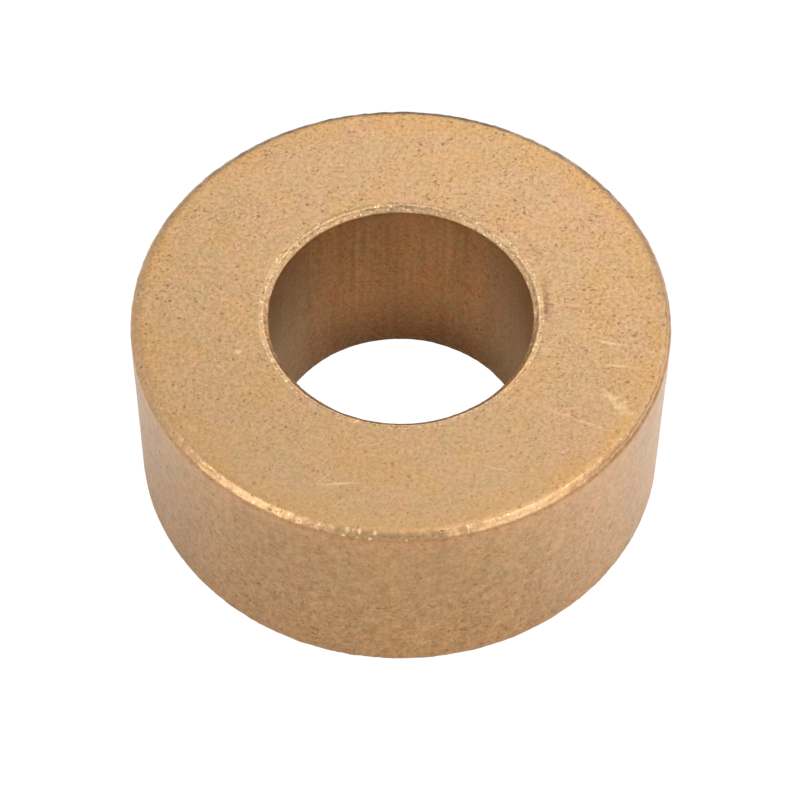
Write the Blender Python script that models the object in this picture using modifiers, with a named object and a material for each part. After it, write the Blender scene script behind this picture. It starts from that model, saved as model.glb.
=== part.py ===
"""Sintered bronze sleeve bushing: one plain ring with its edges broken.

Units are metres and +Z is up. The axis of the bore is the Z axis, and the origin is the centre of the lower end
face, so the bushing stands on the XY plane.
"""

import math

import bpy

MM = 0.001

# Driving dimensions
OUTER_DIAMETER = 28.6 * MM
BORE_DIAMETER = 14.0 * MM
LENGTH = 12.0 * MM

# Each broken edge: its width across the end face and its depth along the axis
OUTER_CHAMFER_WIDTH = 0.50 * MM
OUTER_CHAMFER_DEPTH = 0.35 * MM
BORE_CHAMFER_WIDTH = 0.30 * MM
BORE_CHAMFER_DEPTH = 0.30 * MM

# Turning
TURN_STEPS = 96
MERGE_DISTANCE = 0.001 * MM
SHARP_EDGE_ANGLE = math.radians(20.0)

# Finish of the bare sintered metal
BRONZE_COLOUR = (0.62, 0.39, 0.20, 1.0)
BRONZE_ROUGHNESS = 0.50
BRONZE_METALLIC = 1.0


def clear_scene():
    """Remove every object that the file starts with."""
    for old_object in list(bpy.data.objects):
        bpy.data.objects.remove(old_object, do_unlink=True)


def add_collection(name):
    """Return a new collection that is linked into the scene."""
    collection = bpy.data.collections.new(name)
    bpy.context.scene.collection.children.link(collection)
    return collection


def bronze_material():
    """Return the material of the bare sintered bronze."""
    material = bpy.data.materials.new("sintered_bronze")
    material.use_nodes = True
    shader = material.node_tree.nodes["Principled BSDF"]
    shader.inputs["Base Color"].default_value = BRONZE_COLOUR
    shader.inputs["Roughness"].default_value = BRONZE_ROUGHNESS
    shader.inputs["Metallic"].default_value = BRONZE_METALLIC
    return material


def sleeve_profile():
    """Return the ring's closed cross-section as (radius, height) points.

    The points run down the outside, in along the lower face, up the bore and out along the upper face.
    """
    outer = OUTER_DIAMETER / 2
    bore = BORE_DIAMETER / 2
    down_the_outside = [
        (outer - OUTER_CHAMFER_WIDTH, LENGTH),
        (outer, LENGTH - OUTER_CHAMFER_DEPTH),
        (outer, OUTER_CHAMFER_DEPTH),
        (outer - OUTER_CHAMFER_WIDTH, 0.0),
    ]
    up_the_bore = [
        (bore + BORE_CHAMFER_WIDTH, 0.0),
        (bore, BORE_CHAMFER_DEPTH),
        (bore, LENGTH - BORE_CHAMFER_DEPTH),
        (bore + BORE_CHAMFER_WIDTH, LENGTH),
    ]
    return down_the_outside + up_the_bore


def turned_piece(name, profile, collection):
    """Return an object made by turning a closed (radius, height) profile once around the Z axis."""
    outline = bpy.data.meshes.new(name + "_profile")
    points = [(radius, 0.0, height) for radius, height in profile]
    edges = [(i, (i + 1) % len(points)) for i in range(len(points))]
    outline.from_pydata(points, edges, [])
    piece = bpy.data.objects.new(name, outline)
    collection.objects.link(piece)

    turn = piece.modifiers.new("turn", "SCREW")
    turn.axis = "Z"
    turn.angle = math.tau
    turn.steps = TURN_STEPS
    turn.render_steps = TURN_STEPS
    turn.use_merge_vertices = True
    turn.merge_threshold = MERGE_DISTANCE

    depsgraph = bpy.context.evaluated_depsgraph_get()
    solid = bpy.data.meshes.new_from_object(piece.evaluated_get(depsgraph))
    solid.name = name
    piece.modifiers.clear()
    piece.data = solid
    bpy.data.meshes.remove(outline)
    solid.shade_smooth()
    solid.set_sharp_from_angle(angle=SHARP_EDGE_ANGLE)
    return piece


def build_bushing():
    """Model the bushing: its one piece is the sleeve."""
    clear_scene()
    parts = add_collection("bronze_sleeve_bushing")
    sleeve = turned_piece("sleeve", sleeve_profile(), parts)
    sleeve.data.materials.append(bronze_material())


build_bushing()
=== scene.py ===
"""Looks of a sintered bronze sleeve bushing: one worn, porous metal ring on a white studio table.

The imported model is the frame. Its ring is replaced by a finer one of the same size, turned here with the
modelling operators, with tumbled edges, a pressed lip round the bore, small dents and a procedural finish for
every face.
"""

import logging
import math
from collections.abc import Callable
from dataclasses import dataclass
from enum import Enum
from functools import lru_cache
from typing import ClassVar

import bmesh
import bpy
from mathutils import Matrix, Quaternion, Vector


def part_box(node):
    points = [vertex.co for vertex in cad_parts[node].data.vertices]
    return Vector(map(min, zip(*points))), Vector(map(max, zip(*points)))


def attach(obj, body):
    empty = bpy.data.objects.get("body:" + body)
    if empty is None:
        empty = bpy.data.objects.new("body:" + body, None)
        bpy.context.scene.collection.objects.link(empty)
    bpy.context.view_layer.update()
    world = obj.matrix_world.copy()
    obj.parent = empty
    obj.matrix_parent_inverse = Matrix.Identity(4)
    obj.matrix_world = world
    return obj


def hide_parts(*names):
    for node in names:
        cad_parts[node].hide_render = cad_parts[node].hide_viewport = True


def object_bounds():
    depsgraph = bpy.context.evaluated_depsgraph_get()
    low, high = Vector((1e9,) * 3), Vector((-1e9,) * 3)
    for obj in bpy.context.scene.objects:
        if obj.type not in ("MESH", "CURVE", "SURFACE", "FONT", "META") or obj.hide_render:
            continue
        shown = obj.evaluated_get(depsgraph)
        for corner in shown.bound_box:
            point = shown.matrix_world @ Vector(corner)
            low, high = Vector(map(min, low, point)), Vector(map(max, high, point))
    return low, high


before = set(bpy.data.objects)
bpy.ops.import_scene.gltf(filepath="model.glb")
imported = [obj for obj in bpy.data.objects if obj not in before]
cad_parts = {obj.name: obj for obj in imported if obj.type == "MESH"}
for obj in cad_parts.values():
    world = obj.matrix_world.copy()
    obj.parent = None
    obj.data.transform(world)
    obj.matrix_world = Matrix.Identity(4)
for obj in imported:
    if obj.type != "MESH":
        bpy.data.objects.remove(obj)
CAD_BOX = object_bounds()

MM = 0.001
UP = Vector((0.0, 0.0, 1.0))
CAD_NODE = "sleeve"
BODY = "root"

Node = bpy.types.Node
Socket = bpy.types.NodeSocket
Triple = tuple[float, float, float]
Colour = tuple[float, float, float, float]
log = logging.getLogger("bushing")


def display_colour(red: int, green: int, blue: int) -> Colour:
    """Turn a colour as a screen shows it into the linear colour that shaders use.

    Args:
        red: Red from 0 to 255.
        green: Green from 0 to 255.
        blue: Blue from 0 to 255.

    Returns:
        The linear colour, with full alpha.
    """
    shares = (channel / 255.0 for channel in (red, green, blue))
    linear = [s / 12.92 if s <= 0.04045 else ((s + 0.055) / 1.055) ** 2.4 for s in shares]
    return (linear[0], linear[1], linear[2], 1.0)


# ---- Shader nodes ----


class Bench:
    """Adds nodes to one node tree and joins them."""

    WARM_LIGHT: ClassVar[Triple] = (1.0, 0.77, 0.52)

    def __init__(self, tree: bpy.types.NodeTree) -> None:
        """Work on a material's, world's or group's node tree."""
        self.tree = tree

    def add(self, kind: str, fed: dict[int | str, object] | None = None, **settings: object) -> Node:
        """Add a node.

        Args:
            kind: The node's Blender type name.
            fed: What its inputs take, by number or name: output sockets or constants.
            settings: Values of the node's own properties.

        Returns:
            The new node.
        """
        node = self.tree.nodes.new(kind)
        for name, value in settings.items():
            setattr(node, name, value)
        for key, value in (fed or {}).items():
            self.feed(node.inputs[key], value)
        return node

    def feed(self, socket: Socket, value: object) -> None:
        """Join an output socket to an input, or set the input's own value.

        Args:
            socket: The input socket.
            value: An output socket, or a constant.
        """
        if isinstance(value, bpy.types.NodeSocket):
            self.tree.links.new(value, socket)
        else:
            socket.default_value = value

    def math(self, operation: str, *numbers: object, clamp: bool = False) -> Socket:
        """Work out one number from up to three others.

        Args:
            operation: The Math node's operation.
            numbers: The numbers.
            clamp: Whether to hold the result between 0 and 1.

        Returns:
            The result.
        """
        fed = dict(enumerate(numbers))
        return self.add("ShaderNodeMath", fed, operation=operation, use_clamp=clamp).outputs[0]

    def times(self, first: object, second: object) -> Socket:
        """Multiply two numbers."""
        return self.math("MULTIPLY", first, second)

    def plus(self, first: object, second: object) -> Socket:
        """Add two numbers."""
        return self.math("ADD", first, second)

    def larger(self, first: object, second: object) -> Socket:
        """Give the larger of two numbers."""
        return self.math("MAXIMUM", first, second)

    def scaled(self, value: object, gain: object, start: object) -> Socket:
        """Give a number times a gain, plus a start."""
        return self.math("MULTIPLY_ADD", value, gain, start)

    def size_of(self, value: object) -> Socket:
        """Give a number without its sign."""
        return self.math("ABSOLUTE", value)

    def fewer(self, chance: object, share: object) -> Socket:
        """Give 1 where a chance is less than a share, and 0 elsewhere."""
        return self.math("LESS_THAN", chance, share)

    def ease(
        self, value: object, start: object, end: object, low: object = 0.0, high: object = 1.0
    ) -> Socket:
        """Ease a number from low at start to high at end, and hold it outside.

        Args:
            value: The number.
            start: Where the result leaves low.
            end: Where the result reaches high.
            low: The result before start.
            high: The result past end.

        Returns:
            The eased number.
        """
        fed = dict(enumerate((value, start, end, low, high)))
        node = self.add("ShaderNodeMapRange", fed, interpolation_type="SMOOTHSTEP", clamp=True)
        return node.outputs[0]

    def blend(self, share: object, below: object, on_top: object) -> Socket:
        """Blend two colours.

        Args:
            share: How much of the colour on top shows.
            below: The colour below.
            on_top: The colour on top.

        Returns:
            The blended colour.
        """
        fed = {0: share, 6: below, 7: on_top}
        return self.add("ShaderNodeMix", fed, data_type="RGBA", clamp_factor=True).outputs[2]

    def brighten(self, colour: object, gain: object) -> Socket:
        """Multiply a colour by a number."""
        fed = {"Vector": colour, "Scale": gain}
        return self.add("ShaderNodeVectorMath", fed, operation="SCALE").outputs[0]

    def lifted(self, colour: object, amount: object) -> Socket:
        """Add warm light to a colour, or take it away: the amount in red, and less in green and blue."""
        fed = {0: amount, 1: self.WARM_LIGHT, 2: colour}
        return self.add("ShaderNodeVectorMath", fed, operation="MULTIPLY_ADD").outputs[0]

    def split(self, place: object) -> tuple[Socket, Socket, Socket]:
        """Give the X, Y and Z of a position."""
        return tuple(self.add("ShaderNodeSeparateXYZ", {0: place}).outputs)

    def from_axis(self, place: object) -> Socket:
        """Give a position's distance from the Z axis."""
        flat = self.add("ShaderNodeVectorMath", {0: place, 1: (1.0, 1.0, 0.0)}, operation="MULTIPLY")
        return self.add("ShaderNodeVectorMath", {0: flat.outputs[0]}, operation="LENGTH").outputs["Value"]

    def turned(self, place: object, angle: object) -> Socket:
        """Turn a position about the Z axis by an angle in radians."""
        fed = {"Vector": place, "Angle": angle}
        return self.add("ShaderNodeVectorRotate", fed, rotation_type="Z_AXIS").outputs[0]

    def placed(
        self,
        place: object,
        scale: Triple = (1.0, 1.0, 1.0),
        turn: float = 0.0,
        shift: Triple = (0.0, 0.0, 0.0),
    ) -> Socket:
        """Turn, stretch and shift a position.

        Args:
            place: The position.
            scale: How much each axis is multiplied by, after the turn.
            turn: The turn about Z, in degrees.
            shift: What is added last, so that patterns don't fall on each other.

        Returns:
            The new position.
        """
        turned = self.turned(place, math.radians(turn))
        fed = {"Vector": turned, "Scale": scale, "Location": shift}
        return self.add("ShaderNodeMapping", fed, vector_type="POINT").outputs[0]

    def noise(self, place: object, scale: float, detail: float = 2.0, roughness: float = 0.5) -> Socket:
        """Add a soft noise.

        Args:
            place: The position.
            scale: Features for each unit of length.
            detail: How many finer layers it has.
            roughness: How strong the finer layers are.

        Returns:
            The noise, from 0 to 1.
        """
        fed = {"Vector": place, "Scale": scale, "Detail": detail, "Roughness": roughness}
        return self.add("ShaderNodeTexNoise", fed, noise_dimensions="3D").outputs["Fac"]

    def cells(self, place: object, scale: float) -> tuple[Socket, Socket, Socket]:
        """Add random cells.

        Args:
            place: The position.
            scale: Cells for each unit of length.

        Returns:
            The distance to the cell's centre, and two numbers from 0 to 1 that are the cell's own.
        """
        fed = {"Vector": place, "Scale": scale}
        node = self.add("ShaderNodeTexVoronoi", fed, voronoi_dimensions="3D", feature="F1")
        parts = self.add("ShaderNodeSeparateColor", {0: node.outputs["Color"]})
        return node.outputs["Distance"], parts.outputs[0], parts.outputs[1]

    def warped(self, place: object, scale: float, reach: float) -> Socket:
        """Shift a position about by a noise, so that what is drawn there has ragged outlines.

        Args:
            place: The position.
            scale: The noise's features for each unit of length.
            reach: How far the position moves in all.

        Returns:
            The shifted position.
        """
        fed = {"Vector": place, "Scale": scale, "Detail": 1.0}
        noise = self.add("ShaderNodeTexNoise", fed, noise_dimensions="3D").outputs["Color"]
        fed = {0: noise, 1: (reach,) * 3, 2: place}
        return self.add("ShaderNodeVectorMath", fed, operation="MULTIPLY_ADD").outputs[0]

    def use(self, group: bpy.types.NodeTree, **inputs: object) -> Node:
        """Place a node group.

        Args:
            group: The group.
            inputs: Values or sockets for its inputs, with _ for a space in a name.

        Returns:
            The group's node.
        """
        fed = {name.replace("_", " "): value for name, value in inputs.items()}
        return self.add("ShaderNodeGroup", fed, node_tree=group)


class GroupBench(Bench):
    """Builds a shader node group with named inputs and outputs."""

    SOCKETS: ClassVar[dict[type, str]] = {
        float: "NodeSocketFloat",
        Vector: "NodeSocketVector",
        tuple: "NodeSocketColor",
    }

    def __init__(self, name: str, inputs: dict[str, object], outputs: dict[str, type]) -> None:
        """Make the group and its sockets.

        Args:
            name: The group's name.
            inputs: Each input's name and its usual value: a number, a Vector or a colour.
            outputs: Each output's name and kind: float, Vector or tuple for a colour.
        """
        group = bpy.data.node_groups.new(name, "ShaderNodeTree")
        super().__init__(group)
        for label, usual in inputs.items():
            kind = self.SOCKETS[type(usual)]
            group.interface.new_socket(label, in_out="INPUT", socket_type=kind).default_value = usual
        for label, kind in outputs.items():
            group.interface.new_socket(label, in_out="OUTPUT", socket_type=self.SOCKETS[kind])
        self.inputs = self.add("NodeGroupInput").outputs
        self.outputs = self.add("NodeGroupOutput").inputs

    def close(self, **results: Socket) -> bpy.types.NodeTree:
        """Join the group's outputs to their results and give the finished group."""
        for label, result in results.items():
            self.feed(self.outputs[label], result)
        return self.tree


NOWHERE = Vector((0.0, 0.0, 0.0))


@lru_cache(maxsize=None)
def place_group() -> bpy.types.NodeTree:
    """Build the group that gives a point of the ring, its radius and its height, in millimetres."""
    bench = GroupBench("ring_place", {}, {"Place": Vector, "Radius": float, "Height": float})
    place = bench.brighten(bench.add("ShaderNodeTexCoord").outputs["Object"], 1.0 / MM)
    return bench.close(Place=place, Radius=bench.from_axis(place), Height=bench.split(place)[2])


@lru_cache(maxsize=None)
def grain_group() -> bpy.types.NodeTree:
    """Build the grain of pressed and sintered powder: open pores, dark dust, bright specks and a mottle.

    Returns:
        A group that gives masks for dark and bright grains, the mottle around 0.5, and a height.
    """
    bench = GroupBench(
        "sintered_grain",
        {"Place": NOWHERE, "Pores": 0.5, "Dust": 0.5, "Specks": 0.3},
        {"Dark": float, "Bright": float, "Mottle": float, "Height": float},
    )
    place = bench.inputs["Place"]
    ragged = bench.warped(place, scale=5.0, reach=0.16)
    crowd = bench.ease(bench.noise(place, scale=0.42), 0.3, 0.7, low=0.45, high=1.35)

    wanted = bench.times(bench.inputs["Pores"], crowd)
    dust = bench.ease(bench.noise(bench.placed(place, shift=(4.1, 8.8, 2.2)), 6.0, detail=1.0), 0.58, 0.74)
    dark = bench.times(dust, bench.times(bench.inputs["Dust"], crowd))
    for cell_scale, pore_radius, share in ((2.3, 0.26, 1.0), (4.4, 0.32, 0.7)):
        distance, chance, size = bench.cells(ragged, cell_scale)
        edge = bench.scaled(size, pore_radius * 0.9, pore_radius * 0.4)
        hole = bench.ease(distance, bench.times(edge, 0.3), edge, low=share, high=0.0)
        dark = bench.larger(dark, bench.times(hole, bench.fewer(chance, wanted)))

    distance, chance, size = bench.cells(bench.placed(ragged, shift=(7.3, 2.9, 5.1)), scale=3.2)
    speck = bench.ease(distance, 0.08, bench.scaled(size, 0.16, 0.14), low=1.0, high=0.0)
    bright = bench.times(speck, bench.fewer(chance, bench.inputs["Specks"]))

    mottle = bench.noise(place, scale=4.6, detail=2.5, roughness=0.72)
    height = bench.math("SUBTRACT", bench.times(mottle, 0.8), bench.times(dark, 1.2))
    return bench.close(Dark=dark, Bright=bright, Mottle=mottle, Height=height)


@lru_cache(maxsize=None)
def tone_group() -> bpy.types.NodeTree:
    """Build the uneven colour of bronze that has lightly tarnished in patches."""
    grey = (0.5, 0.5, 0.5, 1.0)
    bench = GroupBench(
        "tarnished_tone",
        {"Place": NOWHERE, "Base": grey, "Copper": grey, "Olive": grey, "Straw": grey, "Patches": 1.0},
        {"Color": tuple},
    )
    colour = bench.inputs["Base"]
    for label, scale, shift in (
        ("Copper", 0.55, (3.1, 0.7, 9.2)),
        ("Olive", 0.80, (12.4, 5.5, 1.3)),
        ("Straw", 0.38, (6.6, 14.1, 4.4)),
    ):
        shifted = bench.placed(bench.inputs["Place"], shift=shift)
        patch = bench.ease(bench.noise(shifted, scale, detail=4.0, roughness=0.6), 0.44, 0.68)
        share = bench.times(patch, bench.inputs["Patches"])
        colour = bench.blend(share, colour, bench.inputs[label])
    return bench.close(Color=colour)


@lru_cache(maxsize=None)
def hairline_group() -> bpy.types.NodeTree:
    """Build the mask of random hairline scratches that lie in the XY plane at three slants."""
    bench = GroupBench("hairlines", {"Place": NOWHERE, "Amount": 0.1}, {"Lines": float})
    lines: object = 0.0
    for turn, length, width, shift in (
        (17.0, 4.2, 0.30, 0.0),
        (68.0, 3.0, 0.24, 31.0),
        (-41.0, 5.2, 0.32, 57.0),
    ):
        shape = (1 / length, 1 / width, 1 / width)
        stretched = bench.placed(bench.inputs["Place"], shape, turn, (shift, 0.0, 0.0))
        distance, chance, _ = bench.cells(stretched, scale=1.0)
        line = bench.ease(distance, 0.04, 0.15, low=1.0, high=0.0)
        lines = bench.larger(lines, bench.times(line, bench.fewer(chance, bench.inputs["Amount"])))
    return bench.close(Lines=lines)


@lru_cache(maxsize=None)
def mark_group() -> bpy.types.NodeTree:
    """Build the mask of one mark: a tapered, ragged stroke on an end face, or a small painted glint on the
    outer edge.
    """
    bench = GroupBench(
        "handling_mark_or_glint",
        {"Place": NOWHERE, "Centre": NOWHERE, "Turn": 0.0, "Length": 1.0, "Width": 0.1, "Ragged": 0.5},
        {"Mask": float},
    )
    place, centre, turn, length, width, ragged = tuple(bench.inputs)[:6]
    moved = bench.add("ShaderNodeVectorMath", {0: place, 1: centre}, operation="SUBTRACT").outputs[0]
    x, y, _ = bench.split(bench.turned(moved, bench.times(turn, -1.0)))
    wobble = bench.scaled(bench.noise(place, scale=2.2, detail=1.0), 2.8, -1.4)
    along = bench.math("DIVIDE", x, length)
    across = bench.scaled(wobble, ragged, bench.math("DIVIDE", y, width))
    from_middle = bench.math("SQRT", bench.scaled(along, along, bench.times(across, across)))
    inside = bench.ease(from_middle, 0.18, 0.5, low=1.0, high=0.0)
    breaks = bench.ease(bench.noise(place, scale=5.0), 0.38, 0.58)
    torn = bench.blend(ragged, (1.0, 1.0, 1.0, 1.0), breaks)
    return bench.close(Mask=bench.math("MULTIPLY", inside, torn, clamp=True))


@lru_cache(maxsize=None)
def streak_group() -> bpy.types.NodeTree:
    """Build the streaks that a sizing die leaves along the axis: fine ones and broad bands, around 0.5."""
    bench = GroupBench("die_streaks", {"Place": NOWHERE}, {"Fine": float, "Broad": float})
    place = bench.inputs["Place"]
    lines = bench.noise(bench.placed(place, (1.0, 1.0, 0.035)), scale=3.0, detail=3.0, roughness=0.75)
    bunches = bench.noise(bench.placed(place, (1.0, 1.0, 0.25), shift=(9.0, 2.0, 5.0)), scale=0.55)
    strength = bench.ease(bunches, 0.38, 0.62, low=0.15, high=1.5)
    fine = bench.scaled(bench.math("SUBTRACT", lines, 0.5), strength, 0.5)
    broad = bench.noise(bench.placed(place, (1.0, 1.0, 0.06), shift=(3.0, 8.0, 0.0)), scale=0.9)
    return bench.close(Fine=fine, Broad=broad)


@lru_cache(maxsize=None)
def burnish_group() -> bpy.types.NodeTree:
    """Build an edge that tumbling has hammered into many tiny facets, which the edge finish lights and shades
    in paint.

    Returns:
        A group that gives the facets' brightness around 0.5, painted as light and shade, the brightest few as
        painted sparkle highlights, and a height.
    """
    bench = GroupBench(
        "hammered_edge",
        {"Place": NOWHERE, "Sparkles": 0.1},
        {"Facets": float, "Sparkles": float, "Height": float},
    )
    place = bench.warped(bench.inputs["Place"], scale=6.0, reach=0.12)
    facets = bench.noise(place, scale=5.6, roughness=0.6)
    lumps = bench.noise(place, scale=3.2, roughness=0.6)
    distance, chance, size = bench.cells(place, scale=5.6)
    glint = bench.ease(distance, 0.20, bench.scaled(size, 0.25, 0.30), low=1.0, high=0.0)
    sparkles = bench.times(glint, bench.fewer(chance, bench.inputs["Sparkles"]))
    return bench.close(Facets=facets, Sparkles=sparkles, Height=bench.scaled(facets, 0.6, lumps))


@lru_cache(maxsize=None)
def seam_group() -> bpy.types.NodeTree:
    """Build the mask of the thin dirty line that stays where a broken edge meets its neighbour."""
    bench = GroupBench(
        "edge_seam",
        {"Place": NOWHERE, "Distance": 0.0, "Centre": 0.0, "Width": 0.1, "Dirty From": 0.0},
        {"Mask": float},
    )
    place = bench.inputs["Place"]
    wander = bench.scaled(bench.noise(place, scale=1.7, detail=3.0, roughness=0.65), 0.16, -0.08)
    off = bench.math("SUBTRACT", bench.plus(bench.inputs["Distance"], wander), bench.inputs["Centre"])
    line = bench.ease(bench.size_of(off), 0.0, bench.inputs["Width"], low=1.0, high=0.0)
    kept = bench.ease(bench.noise(place, scale=0.9, detail=3.0, roughness=0.7), 0.36, 0.60, low=0.30)
    past = bench.math("SUBTRACT", bench.split(place)[0], bench.inputs["Dirty From"])
    dirty = bench.times(kept, bench.ease(past, 0.0, 4.0, low=0.30))
    return bench.close(Mask=bench.times(line, dirty))


# ---- Finishes ----


@dataclass(frozen=True)
class Bronze:
    """The colours of one finish of the sintered bronze."""

    base: Colour
    copper: Colour
    olive: Colour
    straw: Colour
    pore: Colour
    speck: Colour

    @classmethod
    def mixed(cls, **shown: tuple[int, int, int]) -> "Bronze":
        """Mix it from colours as a screen shows them, each red, green and blue from 0 to 255."""
        return cls(**{name: display_colour(*colour) for name, colour in shown.items()})


@dataclass(frozen=True)
class Grain:
    """How much powder grain shows, each from 0 to 1, and how much light its mottle adds and takes."""

    pores: float
    dust: float
    specks: float
    mottle: float


class Measure(Enum):
    """What a seam's place is measured by: an output of the ring's place group."""

    RADIUS = "Radius"
    HEIGHT = "Height"


@dataclass(frozen=True)
class Seam:
    """One thin dirty line round the ring, in millimetres."""

    centre: float
    width: float
    strength: float


@dataclass(frozen=True)
class Mark:
    """One mark, in millimetres and degrees: a handling mark on the upper face, a bright stroke or a dark
    stain, or a painted glint on the outer edge.
    """

    x: float
    y: float
    turn: float
    length: float
    width: float
    strength: float
    ragged: float = 0.5
    dark: bool = False


@dataclass(frozen=True)
class Dressing:
    """A material that is being built, and what it knows of a point of the ring, in millimetres."""

    bench: Bench
    shader: Node
    place: Socket
    measures: Node
    grain: Node

    @property
    def radius(self) -> Socket:
        """Give the point's distance from the axis."""
        return self.measures.outputs[Measure.RADIUS.value]

    @property
    def height(self) -> Socket:
        """Give the point's height above the table."""
        return self.measures.outputs[Measure.HEIGHT.value]

    def paint(self, colour: Socket, roughness: Socket, relief: Socket, depth: float) -> None:
        """Join the finished colour, roughness and relief to the shader.

        Args:
            colour: The colour.
            roughness: The roughness.
            relief: The surface's height, in units of depth.
            depth: How deep one unit is, in millimetres.
        """
        fed = {"Strength": 1.0, "Distance": depth * MM, "Height": relief}
        bump = self.bench.add("ShaderNodeBump", fed)
        for name, value in (("Base Color", colour), ("Roughness", roughness), ("Normal", bump.outputs[0])):
            self.bench.feed(self.shader.inputs[name], value)


@dataclass(frozen=True, kw_only=True)
class Finish:
    """What every finish of the ring shares. Relief is in millimetres, and stretch is along the axis."""

    bronze: Bronze
    name: str
    roughness: float
    oil: float
    oil_roughness: float = 0.45
    oil_index: float = 1.45
    patches: float
    grain: Grain
    stretch: float = 1.0
    relief: float

    def build(self) -> bpy.types.Material:
        """Build the finish's material: its shader, its oil film, its patchy metal and what lies on it."""
        material = bpy.data.materials.new(self.name)
        material.use_nodes = True
        bench = Bench(material.node_tree)
        shader = material.node_tree.nodes["Principled BSDF"]
        for name, value in (
            ("Metallic", 1.0),
            ("Roughness", self.roughness),
            ("Coat Weight", self.oil),
            ("Coat Roughness", self.oil_roughness),
            ("Coat IOR", self.oil_index),
        ):
            shader.inputs[name].default_value = value
        measures = bench.use(place_group())
        place = measures.outputs["Place"]
        pressed = place if self.stretch == 1.0 else bench.placed(place, (1.0, 1.0, 1.0 / self.stretch))
        grain = bench.use(
            grain_group(),
            Place=pressed,
            Pores=self.grain.pores,
            Dust=self.grain.dust,
            Specks=self.grain.specks,
        )
        metal = bench.use(
            tone_group(),
            Place=place,
            Base=self.bronze.base,
            Copper=self.bronze.copper,
            Olive=self.bronze.olive,
            Straw=self.bronze.straw,
            Patches=self.patches,
        )
        self.dress(Dressing(bench, shader, place, measures, grain), metal.outputs["Color"])
        return material

    def dress(self, dressing: Dressing, metal: Socket) -> None:
        """Finish the metal. Each finish says how.

        Args:
            dressing: The material that is being built.
            metal: The metal's patchy colour.
        """
        raise NotImplementedError

    def grained(self, dressing: Dressing, colour: Socket, strength: object = 1.0) -> Socket:
        """Put mottle, specks and pores over a colour.

        Args:
            dressing: The material that is being built.
            colour: The metal's colour.
            strength: How strongly the grain shows.

        Returns:
            The colour with its grain.
        """
        bench, grain = dressing.bench, dressing.grain.outputs
        speck_share, pore_share = 0.5, 0.68
        mottle = bench.ease(grain["Mottle"], 0.25, 0.75, -self.grain.mottle, self.grain.mottle)
        colour = bench.lifted(colour, bench.times(mottle, strength))
        bright = bench.times(bench.times(grain["Bright"], speck_share), strength)
        colour = bench.blend(bright, colour, self.bronze.speck)
        dark = bench.times(bench.times(grain["Dark"], pore_share), strength)
        return bench.blend(dark, colour, self.bronze.pore)

    def stroke(self, dressing: Dressing, mark: Mark) -> Socket:
        """Place one mark: a handling mark or a painted glint.

        Args:
            dressing: The material that is being built.
            mark: The mark.

        Returns:
            The mark's mask, at its strength.
        """
        node = dressing.bench.use(
            mark_group(),
            Place=dressing.place,
            Centre=(mark.x, mark.y, CAD_BOX[1].z / MM),
            Turn=math.radians(mark.turn),
            Length=mark.length,
            Width=mark.width,
            Ragged=mark.ragged,
        )
        return dressing.bench.times(node.outputs["Mask"], mark.strength)

    def seamed(
        self,
        dressing: Dressing,
        colour: Socket,
        seam: Seam,
        distance: Socket,
        dirty_from: float,
        dirt: Colour,
    ) -> Socket:
        """Draw one dirty seam over a colour.

        Args:
            dressing: The material that is being built.
            colour: The colour below.
            seam: The seam.
            distance: What the seam's place is measured by.
            dirty_from: The X past which it is dirtier, in millimetres.
            dirt: The dirt's colour.

        Returns:
            The colour with the seam.
        """
        line = dressing.bench.use(
            seam_group(),
            Place=dressing.place,
            Distance=distance,
            Centre=seam.centre,
            Width=seam.width,
            Dirty_From=dirty_from,
        )
        share = dressing.bench.times(line.outputs["Mask"], seam.strength)
        return dressing.bench.blend(share, colour, dirt)


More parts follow.
